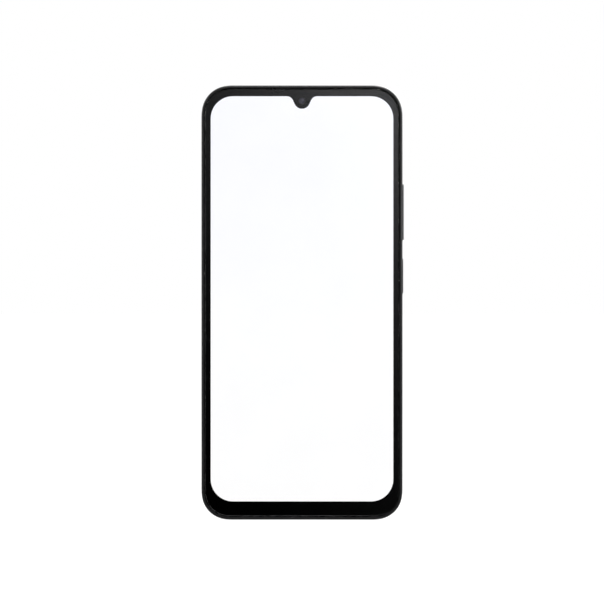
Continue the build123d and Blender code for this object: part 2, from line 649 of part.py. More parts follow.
with BuildPart() as speaker_box:
    outer, inner = Layer(-1.3, 2.95), Layer(-0.7, 2.45)
    with BuildSketch(outer.plane):
        add(phone_outline(BRACKET_INSET))
        span(10.0, 34.9, 0.0, 16.8, Mode.INTERSECT)
    extrude(amount=outer.thick)
    ear = Layer(SUB_BOARD.front, SCREW_SEAT)
    with BuildSketch(ear.plane):
        for x, z in LOWER_SCREWS[2:]:
            with Locations((x, z)):
                Circle(1.9)
            span(x - 1.9, x + 1.9, 16.0, z)
    extrude(amount=ear.thick)
    with BuildSketch(inner.plane):
        add(phone_outline(BRACKET_INSET + 0.7))
        span(10.7, 34.2, 0.0, 16.1, Mode.INTERSECT)
    extrude(amount=inner.thick, mode=Mode.SUBTRACT)
    with BuildSketch(ear.plane):
        with Locations(*LOWER_SCREWS[2:]):
            Circle(0.75)
    extrude(amount=ear.thick, mode=Mode.SUBTRACT)
    block((12.8, 27.4), (-0.5, 1.1), (2.9, 4.5), Mode.SUBTRACT)  # sound outlet
pieces["speaker_box"] = speaker_box

with BuildPart() as speaker_magnet:
    yoke = Layer(1.9, inner.back)
    with BuildSketch(yoke.plane):
        with Locations(SPEAKER):
            RectangleRounded(15.0, 10.4, 0.8)
    extrude(amount=yoke.thick)
    with BuildSketch(Layer(0.6, yoke.front).plane):
        with Locations(SPEAKER):
            RectangleRounded(7.0, 3.4, 0.3)
    extrude(amount=1.3)
    for side in (-1, 1):
        z = SPEAKER[1] + side * 4.3
        block((SPEAKER[0] - 6.0, SPEAKER[0] + 6.0), (0.7, yoke.front), (z - 0.8, z + 0.8))
pieces["speaker_magnet"] = speaker_magnet
pieces["speaker_diaphragm"] = moving_coil(
    SPEAKER, (13.6, 9.4), Layer(0.05, 0.25), (8.8, 5.2), 0.7, Layer(0.25, 1.5)
)

with BuildPart() as speaker_mesh:
    block((12.4, 27.8), (-0.9, 1.5), (WALL + 0.05, WALL + 0.25))
pieces["speaker_mesh"] = speaker_mesh

with BuildPart() as motor_case:
    for radius, layer, mode in (
        (4.0, Layer(-1.3, 1.4), Mode.ADD),
        (3.75, Layer(-1.05, 1.15), Mode.SUBTRACT),
        (0.35, Layer(-1.1, 1.2), Mode.ADD),  # the shaft
    ):
        with BuildSketch(layer.plane):
            with Locations(MOTOR):
                Circle(radius)
        extrude(amount=layer.thick, mode=mode)
pieces["motor_case"] = motor_case

with BuildPart() as motor_weight:
    # An off-centre half disc on a hub, which turns on the case's shaft.
    with BuildSketch(Layer(-0.5, 0.6).plane):
        with Locations(MOTOR):
            Circle(3.4)
            with Locations((0, 2.6)):
                Rectangle(8.0, 4.0, mode=Mode.SUBTRACT)
            Circle(1.0)
            Circle(0.39, mode=Mode.SUBTRACT)
    extrude(amount=1.1)
pieces["motor_weight"] = motor_weight

# ==== Battery and cables ====

with BuildPart() as battery:
    block((-33.5, 33.0), (BATTERY.front, BATTERY.back), (23.5, 112.5))
    fillet(battery.edges().filter_by(Axis.Z), radius=1.0)
pieces["battery"] = battery

with BuildPart() as battery_board:
    block((-25.0, 25.0), (-0.8, 1.5), (112.7, 115.8))
pieces["battery_board"] = battery_board

with BuildPart() as battery_flex:
    ribbon([(1.5, 113.4), (1.5, 122.2)], 2.4, 6.6)
pieces["battery_flex"] = battery_flex

with BuildPart() as battery_tapes:
    for x in (-20.0, 20.0):
        block((x - 6.0, x + 6.0), (TAPE.front, TAPE.back), (26.0, 111.5))
pieces["battery_tapes"] = battery_tapes

with BuildPart() as main_flex:
    # Plugs into the lower board, rises over the battery and drops to the main board.
    path = [(1.05, 17.0), (1.05, 20.5), (3.02, 23.0), (3.02, 116.2), (1.5, 118.6), (1.5, 122.2)]
    ribbon(path, MAIN_FLEX_X - MAIN_FLEX_W / 2, MAIN_FLEX_X + MAIN_FLEX_W / 2)
pieces["main_flex"] = main_flex

with BuildPart() as antenna_cable:
    # A thin coaxial cable clipped beside the battery, with a round plug at each end.
    cable_y, cable_r = 1.17, 0.4
    run = [(-22.0, 20.4), (-22.0, 22.4), (-35.2, 22.4), (-35.2, 125.6)]
    with BuildLine(Plane.XZ.offset(-cable_y)) as route:
        FilletPolyline(*run, radius=1.4)
    with BuildSketch(Plane(origin=route.line @ 0, z_dir=route.line % 0)):
        Circle(cable_r)
    sweep()
    for (x, z), board in ((run[0], SUB_BOARD), (run[-1], MAIN_BOARD)):
        plug = Layer(board.back, 1.6)
        with BuildSketch(plug.plane):
            with Locations((x, z)):
                Circle(1.0)
        extrude(amount=plug.thick)
pieces["antenna_cable"] = antenna_cable

# ==== Inner brackets and screws ====


def screwed_bracket(region, screws, board, cuts):
    """A moulded carrier over a board: a plate, and a counterbored post down to the board per screw."""
    with BuildPart() as bracket:
        with BuildSketch(BRACKET.plane):
            add(phone_outline(BRACKET_INSET))
            span(*region, mode=Mode.INTERSECT)
            for cut in cuts:
                span(*cut, mode=Mode.SUBTRACT)
        extrude(amount=BRACKET.thick)
        post = Layer(board.back, BRACKET.back)
        for radius, layer, mode in (
            (POST_R, post, Mode.ADD),
            (0.75, post, Mode.SUBTRACT),
            (SCREW_HEAD_R + 0.15, Layer(SCREW_SEAT, BRACKET.back), Mode.SUBTRACT),
        ):
            with BuildSketch(layer.plane):
                with Locations(*screws):
                    Circle(radius)
            extrude(amount=layer.thick, mode=mode)
    return bracket


def around(centre, half):
    """The corners of a square around a point, as span takes them."""
    return (centre[0] - half, centre[0] + half, centre[1] - half, centre[1] + half)


pieces["upper_bracket"] = screwed_bracket(
    (-HALF_W, 35.0, 118.8, HEIGHT),
    UPPER_SCREWS,
    MAIN_BOARD,
    [
        around(MAIN_CAMERA, 5.2),
        around(SECOND_CAMERA, 3.6),
        around(FLASH, 2.0),
        (JACK_X - 3.6, JACK_X + 3.6, 152.3, HEIGHT),
        (-16.5, 8.5, 118.0, 125.5),
        (-4.0, 4.0, 158.0, HEIGHT),
    ],
)
pieces["lower_bracket"] = screwed_bracket(
    (-HALF_W, 8.6, 0.0, 21.8),
    LOWER_SCREWS[:2],
    SUB_BOARD,
    [(-16.0, 0.5, 14.5, 23.0)],
)

with BuildPart() as graphite_sheet:
    block((-16.0, 8.0), (BRACKET.back, BRACKET.back + 0.08), (128.0, 150.0))
pieces["graphite_sheet"] = graphite_sheet

with BuildPart() as screws:
    head = Layer(SCREW_SEAT, SCREW_SEAT + SCREW_HEAD_T)
    shank = Layer(-1.25, SCREW_SEAT)
    for radius, layer in ((SCREW_HEAD_R, head), (SCREW_R, shank)):
        with BuildSketch(layer.plane):
            with Locations(*UPPER_SCREWS, *LOWER_SCREWS):
                Circle(radius)
        extrude(amount=layer.thick)
    with BuildSketch(head.plane):  # cross recess
        with Locations(*UPPER_SCREWS, *LOWER_SCREWS):
            Rectangle(1.5, 0.3)
            Rectangle(0.3, 1.5)
    extrude(amount=0.35, mode=Mode.SUBTRACT)
pieces["screws"] = screws

# ==== SIM tray, reader and eject mechanism ====

with BuildPart() as sim_tray:
    with BuildSketch(Plane.YZ.offset(-HALF_W)):
        with Locations((SIM_Y, SIM_Z)):
            SlotOverall(TRAY_FACE_L, TRAY_FACE_W, rotation=90)
        with Locations((SIM_Y, PIN_Z)):
            Circle(PIN_R, mode=Mode.SUBTRACT)
    extrude(amount=TRAY_FACE_T)
    tray_y = (SIM_Y - TRAY_T / 2, SIM_Y + TRAY_T / 2)
    face_back = -HALF_W + TRAY_FACE_T
    block((face_back, TRAY_END_X), tray_y, (SIM_Z - TRAY_W / 2, SIM_Z + TRAY_W / 2))
    # Card pockets, as (x range, half height): the memory card's first, then the SIM's.
    for x, half in (((-35.8, -20.7), 5.55), ((-18.6, -6.2), 4.45)):
        block(x, (tray_y[0] + 0.3, tray_y[1]), (SIM_Z - half, SIM_Z + half), Mode.SUBTRACT)
        block((x[0] + 0.8, x[1] - 0.8), tray_y, (SIM_Z - half + 0.8, SIM_Z + half - 0.8), Mode.SUBTRACT)
pieces["sim_tray"] = sim_tray

with BuildPart() as sim_tray_seal:
    with BuildSketch(Plane.YZ.offset(face_back)):
        with Locations((SIM_Y, SIM_Z)):
            SlotOverall(15.6, 2.2, rotation=90)
            Rectangle(TRAY_T, TRAY_W, mode=Mode.SUBTRACT)
    extrude(amount=0.25)
pieces["sim_tray_seal"] = sim_tray_seal

with BuildPart() as sim_reader:
    # A folded metal cover on the board's screen side, with the lever's pivot at its far end.
    reader_x, reader_z = (-36.2, 0.6), (PIN_Z - 1.0, SIM_Z + 7.9)
    block(reader_x, (-1.33, -1.2), reader_z)
    for z in (SIM_Z - 7.75, SIM_Z + 7.6):
        block((reader_x[0], -4.9), (-1.2, MAIN_BOARD.front), (z, z + 0.15))
    block((reader_x[1] - 0.15, reader_x[1]), (-1.2, MAIN_BOARD.front), reader_z)
    with BuildSketch(MAIN_BOARD.plane.offset(MAIN_BOARD.thick)):
        with Locations((LEVER_X, LEVER_Z)):
            Circle(0.45)
    extrude(amount=1.2)
pieces["sim_reader"] = sim_reader

with BuildPart() as sim_eject_rod:
    rod_x = -36.8
    with BuildSketch(Plane.YZ.offset(rod_x)):
        with Locations((SIM_Y, PIN_Z)):
            Circle(0.4)
    extrude(amount=LEVER_X - 0.6 - 0.05 - rod_x)
pieces["sim_eject_rod"] = sim_eject_rod

with BuildPart() as sim_eject_lever:
    lever = Layer(-1.1, -0.3)
    with BuildSketch(lever.plane):
        with Locations((LEVER_X, LEVER_Z)):
            Rectangle(1.2, 2 * LEVER_ARM)
            Circle(1.0)
            Circle(0.5, mode=Mode.SUBTRACT)
    extrude(amount=lever.thick)
pieces["sim_eject_lever"] = sim_eject_lever

# ==== Side keys ====

with BuildPart() as volume_rocker:
    cap_x, flange_x = 37.5, 37.0
    outer_x = HALF_W + ROCKER_PROUD
    with BuildSketch(Plane.YZ.offset(cap_x)):
        with Locations((KEY_Y, ROCKER_Z)):
            SlotOverall(ROCKER_L, KEY_W, rotation=90)
    extrude(amount=outer_x - cap_x)
    fillet(volume_rocker.faces().sort_by(Axis.X)[-1].edges(), radius=0.25)
    block((flange_x, cap_x), (KEY_Y - 1.25, KEY_Y + 1.25), (ROCKER_Z - 4.5, ROCKER_Z + 4.5))
    with BuildSketch(Plane.YZ.offset(NUB_X)):
        with Locations(*[(KEY_Y, ROCKER_Z + side * ROCKER_NUB) for side in (-1, 1)]):
            Circle(0.7)
    extrude(amount=cap_x - NUB_X)
pieces["volume_rocker"] = volume_rocker

with BuildPart() as power_key:
    flange_x, cap_x = 37.05, 37.6
    outer_x = HALF_W + POWER_PROUD
    with BuildSketch(Plane.YZ.offset(cap_x)):
        with Locations((KEY_Y, POWER_Z)):
            SlotOverall(POWER_L, KEY_W, rotation=90)
    extrude(amount=outer_x - cap_x)
    fillet(power_key.faces().sort_by(Axis.X)[-1].edges(), radius=0.2)
    block((flange_x, cap_x), (KEY_Y - 1.25, KEY_Y + 1.25), (POWER_Z - 7.7, POWER_Z + 7.7))
    with BuildSketch(Plane.YZ.offset(NUB_X)):
        with Locations((KEY_Y, POWER_Z)):
            Circle(0.7)
    extrude(amount=flange_x - NUB_X)
    with BuildSketch(Plane.YZ.offset(outer_x)):  # seat of the fingerprint sensor
        with Locations((KEY_Y, POWER_Z)):
            SlotOverall(POWER_L - 1.3, KEY_W - 0.9, rotation=90)
    extrude(amount=-0.4, mode=Mode.SUBTRACT)
pieces["power_key"] = power_key

with BuildPart() as fingerprint_sensor:
    with BuildSketch(Plane.YZ.offset(outer_x - 0.4)):
        with Locations((KEY_Y, POWER_Z)):
            SlotOverall(POWER_L - 1.4, KEY_W - 1.0, rotation=90)
    extrude(amount=0.34)
pieces["fingerprint_sensor"] = fingerprint_sensor


def domes(places):
    """Snap domes that click under a key's nubs: shallow caps on the key flex."""
    with BuildPart() as caps:
        with BuildSketch(Plane.YZ.offset(FLEX_X)):
            with Locations(*places):
                Circle(1.1)
        extrude(amount=NUB_X - 0.05 - FLEX_X, taper=38)
    return caps


pieces["volume_domes"] = domes([(KEY_Y, ROCKER_Z + side * ROCKER_NUB) for side in (-1, 1)])
pieces["power_dome"] = domes([(KEY_Y, POWER_Z)])

with BuildPart() as key_flex:
    block((STRIP_X, FLEX_X), (KEY_Y - 1.2, KEY_Y + 1.2), (86.0, 131.0))
pieces["key_flex"] = key_flex

with BuildPart() as key_bracket:
    block((STRIP_X - 0.6, STRIP_X), (PLATE.back, KEY_Y + 1.4), (85.0, 132.0))
    fillet(key_bracket.edges().filter_by(Axis.X), radius=0.4)
pieces["key_bracket"] = key_bracket

# ---- Write one file per piece ----
os.makedirs("parts", exist_ok=True)
for name, piece in pieces.items():
    piece.part.label = name
    export_step(piece.part, f"parts/{name}.step")
print(len(pieces), "pieces")
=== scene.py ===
import json
import math

import bmesh
import bpy
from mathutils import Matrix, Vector


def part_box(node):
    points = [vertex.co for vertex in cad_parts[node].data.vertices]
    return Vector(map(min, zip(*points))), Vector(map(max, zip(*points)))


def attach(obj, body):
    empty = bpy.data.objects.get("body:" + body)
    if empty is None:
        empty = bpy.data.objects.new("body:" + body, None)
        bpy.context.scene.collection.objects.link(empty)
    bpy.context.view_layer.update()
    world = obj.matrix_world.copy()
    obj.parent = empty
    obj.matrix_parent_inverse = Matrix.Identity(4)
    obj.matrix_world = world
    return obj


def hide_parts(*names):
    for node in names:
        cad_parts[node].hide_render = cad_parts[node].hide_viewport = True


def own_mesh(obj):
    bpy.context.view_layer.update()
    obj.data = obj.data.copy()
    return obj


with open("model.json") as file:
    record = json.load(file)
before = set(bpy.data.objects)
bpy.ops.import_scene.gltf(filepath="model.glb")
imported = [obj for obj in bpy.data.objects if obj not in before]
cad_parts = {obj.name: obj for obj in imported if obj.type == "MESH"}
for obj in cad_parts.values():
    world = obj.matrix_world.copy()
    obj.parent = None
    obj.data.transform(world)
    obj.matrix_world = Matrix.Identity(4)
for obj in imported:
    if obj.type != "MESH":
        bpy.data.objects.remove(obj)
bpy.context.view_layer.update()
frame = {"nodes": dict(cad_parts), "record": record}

# A smartphone standing upright in a white studio. The CAD nodes keep their shapes and get materials
# here, apart from four small ones that finer meshes replace. Lenses, contacts and other small visible
# details are added as pieces that ride on the bodies.
# Everything is in metres, in the CAD's frame: X right, Y to the back, Z up. The profiles of
# the added pieces are in millimetres.

MM = 0.001
X, Y, Z = Vector((1, 0, 0)), Vector((0, 1, 0)), Vector((0, 0, 1))


def middle(node):
    low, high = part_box(node)
    return (low + high) / 2


def half_sizes(node):
    low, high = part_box(node)
    return (high - low) / 2


body_low, body_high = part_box("side_frame")
front_y = body_low.y
body_height = body_high.z - body_low.z
body_centre = Vector((0, front_y, (body_low.z + body_high.z) / 2))


# ---- Materials ----

DRIFT = 3 * MM  # the size of slow changes in a plastic's colour
GLOSS_DRIFT = 1.1 * MM  # and in its roughness
SPARK_GRAIN = 0.12 * MM  # the grain that a spark-eroded mould leaves
GRAIN_DEPTH = 1.5e-6
LINE_PITCH = 0.05 * MM  # the lines or grain of worked metal
METAL_DRIFT = 0.4 * MM  # slower changes in its roughness
ALONG_Z = (1, 1, 12)  # lines twelve times as long as they are wide
EVEN = (1, 1, 1)  # a grain with no direction
PANEL_GLOW = 1.08  # the lit screen's emission: a little over pure white, as the glass takes some


class Nodes:
    """Short calls that add nodes to a node tree and link them."""

    def __init__(self, tree):
        self.tree = tree
        self.coordinates = self.node("ShaderNodeTexCoord")

    def node(self, kind, **settings):
        made = self.tree.nodes.new(kind)
        for key, value in settings.items():
            setattr(made, key, value)
        return made

    def link(self, output, socket):
        self.tree.links.new(output, socket)

    def feed(self, sockets, values):
        """Links the values that are outputs of other nodes, and sets the rest as constants."""
        for socket, value in zip(sockets, values):
            if isinstance(value, bpy.types.NodeSocket):
                self.link(value, socket)
            else:
                socket.default_value = value

    def math(self, operation, *values):
        made = self.node("ShaderNodeMath", operation=operation)
        self.feed(made.inputs, values)
        return made.outputs[0]

    def vector(self, operation, *values):
        """Vector maths. Returns both outputs: the result is Vector, or Value where it is a number."""
        made = self.node("ShaderNodeVectorMath", operation=operation)
        self.feed(made.inputs, values)
        return made.outputs

    def span(self, output, to_low, to_high, low=0.0, high=1.0):
        """Maps a value from low..high to to_low..to_high."""
        made = self.node("ShaderNodeMapRange")
        self.feed(made.inputs, (output, low, high, to_low, to_high))
        return made.outputs[0]

    def ramp(self, output, *stops):
        """A colour ramp over (position, colour) stops."""
        made = self.node("ShaderNodeValToRGB")
        elements = made.color_ramp.elements
        while len(elements) < len(stops):
            elements.new(0.5)
        for element, (position, colour) in zip(elements, stops):
            element.position = position
            element.color = (*colour, 1)
        self.link(output, made.inputs[0])
        return made.outputs[0]

    def either(self, choice, first, second):
        """Mixes two shaders: the first where the choice is 0, and the second where it is 1."""
        made = self.node("ShaderNodeMixShader")
        self.feed(made.inputs, (choice, first, second))
        return made.outputs[0]


class Look(Nodes):
    """A Principled material. A socket's constant is given by its name, with _ for each space."""

    def __init__(self, name, **sockets):
        self.material = bpy.data.materials.new(name)
        self.material.use_nodes = True
        super().__init__(self.material.node_tree)
        self.shader = self.tree.nodes["Principled BSDF"]
        self.place = self.coordinates.outputs["Object"]
        for socket, value in sockets.items():
            self.shader.inputs[socket.replace("_", " ")].default_value = value

    def drive(self, socket, output):
        self.link(output, self.shader.inputs[socket])

    def mapped(self, **settings):
        """Object coordinates, with the Location, Rotation or Scale given."""
        made = self.node("ShaderNodeMapping")
        self.link(self.place, made.inputs["Vector"])
        for key, value in settings.items():
            made.inputs[key].default_value = value
        return made.outputs[0]

    def noise(self, size, detail=2.0, stretch=EVEN):
        """Noise whose features are about size metres across, drawn out along an axis by stretch."""
        made = self.node("ShaderNodeTexNoise")
        self.link(self.mapped(Scale=[1 / size / s for s in stretch]), made.inputs["Vector"])
        made.inputs["Scale"].default_value = 1
        made.inputs["Detail"].default_value = detail
        return made.outputs[0]

    def cells(self, size):
        """Distance from the middle of the nearest of many cells, each about size metres across."""
        made = self.node("ShaderNodeTexVoronoi")
        self.link(self.mapped(Scale=[1 / size] * 3), made.inputs["Vector"])
        made.inputs["Scale"].default_value = 1
        return made.outputs[0]

    def axis(self, which, low, high, source="Object"):
        """One coordinate, 0 at low and 1 at high."""
        split = self.node("ShaderNodeSeparateXYZ")
        self.link(self.coordinates.outputs[source], split.inputs[0])
        return self.span(split.outputs[which], 0.0, 1.0, low, high)

    def tint(self, colour, spread, output):
        """Varies the base colour by a share, spread, either way."""
        dark = [c * (1 - spread) for c in colour]
        light = [min(1.0, c * (1 + spread)) for c in colour]
        self.drive("Base Color", self.ramp(output, (0.25, dark), (0.75, light)))

    def gloss(self, roughness, spread, output):
        """Varies the roughness by spread either way."""
        self.drive("Roughness", self.span(output, roughness - spread, roughness + spread))

    def paint_shade(self, plain, roughness, mask):
        """Paints matt black shade over a plain colour where the mask is 1."""
        mixed = self.node("ShaderNodeMix", data_type="RGBA")
        self.link(mask, mixed.inputs["Factor"])
        self.link(plain, mixed.inputs["A"])
        mixed.inputs["B"].default_value = (0.001, 0.001, 0.001, 1)
        self.drive("Base Color", mixed.outputs["Result"])
        self.drive("Roughness", self.math("MAXIMUM", roughness, self.span(mask, 0, 0.95)))

    def bump(self, output, depth):
        """Raises the surface by up to depth metres where the value is 1."""
        made = self.node("ShaderNodeBump")
        made.inputs["Strength"].default_value = 1
        made.inputs["Distance"].default_value = depth
        self.link(output, made.inputs["Height"])
        self.drive("Normal", made.outputs[0])


def moulded(name, colour, roughness, grain=SPARK_GRAIN, depth=GRAIN_DEPTH, spread=0.12, **sockets):
    """Moulded plastic: a fine spark-eroded grain, and slow drifts in colour and gloss."""
    look = Look(name, **sockets)
    look.tint(colour, spread, look.noise(DRIFT, detail=4))
    look.gloss(roughness, 0.06, look.noise(GLOSS_DRIFT, detail=5))
    look.bump(look.noise(grain, detail=3), depth)
    return look.material


def frame_plastic(name):
    """The frame's satin plastic, with matt black shade painted into the slot around the glass: on walls
    that face the middle of the phone, and on the slot's floor."""
    look = Look(name)
    from_centre = look.vector("SUBTRACT", look.place, body_centre)["Vector"]
    flat = look.vector("MULTIPLY", from_centre, (1, 0, 1))["Vector"]
    outwards = look.vector("DOT_PRODUCT", flat, look.coordinates.outputs["Normal"])["Value"]
    inner_wall = look.span(outwards, 0, 1, -1 * MM, -8 * MM)
    facing_front = look.axis("Y", -0.8, -0.95, source="Normal")
    sunk = look.axis("Y", front_y + 0.3 * MM, front_y + 0.5 * MM)
    # Painted shade: the slot's walls and floor are coloured matt black, where shade would fall.
    groove_shade = look.math("MAXIMUM", inner_wall, look.math("MULTIPLY", facing_front, sunk))
    dark, light = (0.015, 0.015, 0.016), (0.019, 0.019, 0.020)
    plain = look.ramp(look.noise(DRIFT, detail=4), (0.25, dark), (0.75, light))
    look.paint_shade(plain, look.span(look.noise(GLOSS_DRIFT, detail=5), 0.32, 0.44), groove_shade)
    look.bump(look.noise(SPARK_GRAIN, detail=3), GRAIN_DEPTH)
    return look.material


def worked(name, colour, roughness, along=ALONG_Z):
    """Rolled, drawn or turned metal, with fine lines along one axis or an even grain."""
    look = Look(name, Metallic=1.0)
    lines = look.noise(LINE_PITCH, detail=3, stretch=along)
    look.tint(colour, 0.10, lines)
    look.gloss(roughness, 0.08, look.noise(METAL_DRIFT, detail=4, stretch=along))
    look.bump(lines, 0.8e-6)
    return look.material


def ring_metal(name):
    """The camera rings' dark anodised metal, with a fine even grain."""
    look = Look(name, Metallic=0.85)
    grain = look.noise(LINE_PITCH, detail=3)
    look.tint((0.115, 0.115, 0.12), 0.13, grain)
    look.gloss(0.28, 0.06, look.noise(METAL_DRIFT, detail=4))
    look.bump(grain, 0.3e-6)
    return look.material


def film(name, colour, roughness):
    """Thin film, foil or tape: nearly smooth, with faint ripples."""
    look = Look(name)
    look.tint(colour, 0.08, look.noise(6 * MM, detail=3))
    look.gloss(roughness, 0.05, look.noise(2 * MM, detail=4))
    look.bump(look.noise(9 * MM, detail=2), 30e-6)
    return look.material


def circuit_board(name, colour, track):
    """Solder mask over copper tracks: a squared pattern of slightly raised, lighter lines."""
    look = Look(name, Coat_Weight=0.4, Coat_Roughness=0.15)
    bricks = look.node("ShaderNodeTexBrick", offset=0.5, squash=1.0)
    look.link(look.mapped(Rotation=(math.radians(90), 0, 0)), bricks.inputs["Vector"])
    bricks.inputs["Scale"].default_value = 600
    bricks.inputs["Mortar Size"].default_value = 0.06
    tracks = bricks.outputs["Fac"]
    look.drive("Base Color", look.ramp(tracks, (0.3, colour), (0.7, track)))
    look.drive("Roughness", look.span(look.noise(0.8 * MM, detail=3), 0.32, 0.45))
    look.bump(tracks, 12e-6)
    return look.material


def woven(name, colour):
    """A fine black mesh: round holes between raised threads."""
    look = Look(name, Roughness=0.6)
    threads = look.cells(0.16 * MM)
    look.drive("Base Color", look.ramp(threads, (0.25, (0.001, 0.001, 0.001)), (0.55, colour)))
    look.bump(threads, 40e-6)
    return look.material


def clear_glass(name, tint, **sockets):
    """Polished glass, with the faintest drift in its tint."""
    look = Look(name, Roughness=0.0, Transmission_Weight=1.0, **sockets)
    look.tint(tint, 0.01, look.noise(20 * MM, detail=2))
    return look.material


def coated_lens(name, heart, ring, centre, radius):
    """A coated lens facing along Y: dark at its heart, with a painted highlight: a brighter ring,
    standing for the glints of its coat, that fades at the rim.
    """
    look = Look(name, Roughness=0.05, Coat_Weight=1.0, Coat_Roughness=0.02, Specular_IOR_Level=0.9)
    place = look.mapped(Location=[-c / radius for c in centre], Scale=(1 / radius, 0, 1 / radius))
    distance = look.vector("LENGTH", place)["Value"]
    # Painted highlight: the ring and its fainter rim are glints painted into the base colour.
    rim = [c * 0.25 for c in ring]
    stops = ((0.0, heart), (0.35, heart), (0.62, ring), (0.78, heart), (1.0, rim))
    look.drive("Base Color", look.ramp(distance, *stops))
    return look.material


def display(name):
    """The lit, blank panel: white, a little cooler towards the top, from its front face only."""
    look = Look(name, Roughness=0.25)
    look.tint((0.05, 0.05, 0.055), 0.03, look.noise(30 * MM))
    low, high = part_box("lcd_panel")
    up = look.axis("Z", low.z, high.z)
    foot, body, head = (0.99, 0.99, 0.99), (0.98, 0.985, 0.99), (0.93, 0.94, 1.0)
    look.drive("Emission Color", look.ramp(up, (0.0, foot), (0.45, body), (1.0, head)))
    facing_front = look.axis("Y", -0.8, -0.9, source="Normal")
    look.drive("Emission Strength", look.math("MULTIPLY", facing_front, PANEL_GLOW))
    return look.material


LOOKS = {
    "frame_plastic": frame_plastic("frame_plastic"),
    "cover_plastic": moulded("cover_plastic", (0.028, 0.030, 0.034), 0.38, grain=0.18 * MM,
                             depth=3e-6, spread=0.06),
    "key_plastic": moulded("key_plastic", (0.040, 0.041, 0.043), 0.34, grain=0.08 * MM, depth=1e-6),
    "tray_plastic": moulded("tray_plastic", (0.036, 0.037, 0.040), 0.38),
    "front_glass": clear_glass("front_glass", (0.99, 0.99, 0.99), IOR=1.5),
    "border_ink": moulded("border_ink", (0.0010, 0.0010, 0.0011), 0.6, depth=0.1e-6,
                          Specular_IOR_Level=0.0),
    "black_foam": moulded("black_foam", (0.012, 0.012, 0.013), 0.85, grain=0.3 * MM, depth=40e-6),
    "display_cell": display("display_cell"),
    "diffuser_white": film("diffuser_white", (0.85, 0.86, 0.87), 0.5),
    "plate_alloy": worked("plate_alloy", (0.55, 0.56, 0.58), 0.5, along=EVEN),
    "flex_film": film("flex_film", (0.45, 0.20, 0.04), 0.35),
    "black_flex": film("black_flex", (0.02, 0.02, 0.022), 0.4),
    "circuit_board": circuit_board("circuit_board", (0.004, 0.030, 0.022), (0.010, 0.070, 0.045)),
    "can_steel": worked("can_steel", (0.62, 0.61, 0.58), 0.35),
    "chip_epoxy": moulded("chip_epoxy", (0.022, 0.022, 0.024), 0.6, grain=0.06 * MM),
    "socket_plastic": moulded("socket_plastic", (0.03, 0.03, 0.032), 0.45),
    "graphite": film("graphite", (0.07, 0.07, 0.075), 0.4),
    "bracket_plastic": moulded("bracket_plastic", (0.02, 0.021, 0.023), 0.55, grain=0.2 * MM, depth=5e-6),
    "screw_steel": worked("screw_steel", (0.09, 0.09, 0.09), 0.5, along=EVEN),
    "battery_pouch": film("battery_pouch", (0.05, 0.05, 0.055), 0.35),
    "tape_white": film("tape_white", (0.82, 0.82, 0.80), 0.5),
    "cable_sheath": moulded("cable_sheath", (0.05, 0.05, 0.05), 0.45),
    "port_steel": worked("port_steel", (0.56, 0.56, 0.57), 0.28),
    "port_plastic": moulded("port_plastic", (0.018, 0.018, 0.020), 0.45),
    "speaker_plastic": moulded("speaker_plastic", (0.02, 0.02, 0.022), 0.55),
    "magnet_nickel": worked("magnet_nickel", (0.64, 0.62, 0.58), 0.2, along=EVEN),
    "cone_film": film("cone_film", (0.08, 0.08, 0.085), 0.45),
    "mesh_black": woven("mesh_black", (0.03, 0.03, 0.032)),
    "weight_alloy": worked("weight_alloy", (0.36, 0.36, 0.38), 0.45, along=EVEN),
    "mic_can": worked("mic_can", (0.80, 0.62, 0.28), 0.3, along=EVEN),
    "ring_metal": ring_metal("ring_metal"),
    "window_glass": clear_glass("window_glass", (0.90, 0.91, 0.94), IOR=1.25),
    # The front lens: a dark heart with a painted purple highlight ring for its glints.
    "lens_glass": coated_lens("lens_glass", (0.15, 0.14, 0.26), (0.62, 0.57, 0.98),
                              middle("front_camera_lens"), 1.2 * MM),
    "lens_barrel": moulded("lens_barrel", (0.010, 0.010, 0.011), 0.5, grain=0.05 * MM),
    "camera_steel": worked("camera_steel", (0.10, 0.10, 0.10), 0.4),
    "flash_lens": clear_glass("flash_lens", (0.97, 0.95, 0.88), IOR=1.49),
    "led_phosphor": moulded("led_phosphor", (0.85, 0.62, 0.10), 0.6),
    "seal_rubber": moulded("seal_rubber", (0.02, 0.02, 0.022), 0.8),
    "dome_steel": worked("dome_steel", (0.66, 0.65, 0.62), 0.25, along=EVEN),
    "sensor_glass": moulded("sensor_glass", (0.010, 0.010, 0.012), 0.36, depth=0.05e-6),
}
for part in frame["record"]["subparts"]:
    frame["nodes"][part["node"]].material_slots[0].material = LOOKS[part["material_slot"]]


# ---- Added pieces ----

def add_piece(name, shape, slot, body="phone", look=None):
    """Turns a finished bmesh into an object that rides on a CAD body. It looks as its material slot
    does, unless it has a look of its own."""
    bmesh.ops.recalc_face_normals(shape, faces=shape.faces)
    mesh = bpy.data.meshes.new(name)
    shape.to_mesh(mesh)
    shape.free()
    mesh.materials.append(look or LOOKS[slot])
    mesh.shade_smooth()
    mesh.set_sharp_from_angle(angle=math.radians(35))
    piece = bpy.data.objects.new(name, mesh)
    bpy.context.scene.collection.objects.link(piece)
    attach(piece, body)
    return piece


def skin(shape, rings, wrap):
    """Faces between each ring of vertices and the next; a ring may be a single point."""
    pairs = list(zip(rings, rings[1:])) + ([(rings[-1], rings[0])] if wrap else [])
    steps = max(len(ring) for ring in rings)
    for first, second in pairs:
        for step in range(steps):
            follow = (step + 1) % steps
            corners = [first[step % len(first)], first[follow % len(first)],
                       second[follow % len(second)], second[step % len(second)]]
            corners = list(dict.fromkeys(corners))
            if len(corners) > 2:
                shape.faces.new(corners)


def circle(radius, steps, first, second):
    """Steps round a circle, from its middle; first and second are the directions of its plane."""
    angles = [2 * math.pi * step / steps for step in range(steps)]
    return [first * (radius * math.cos(a)) + second * (radius * math.sin(a)) for a in angles]


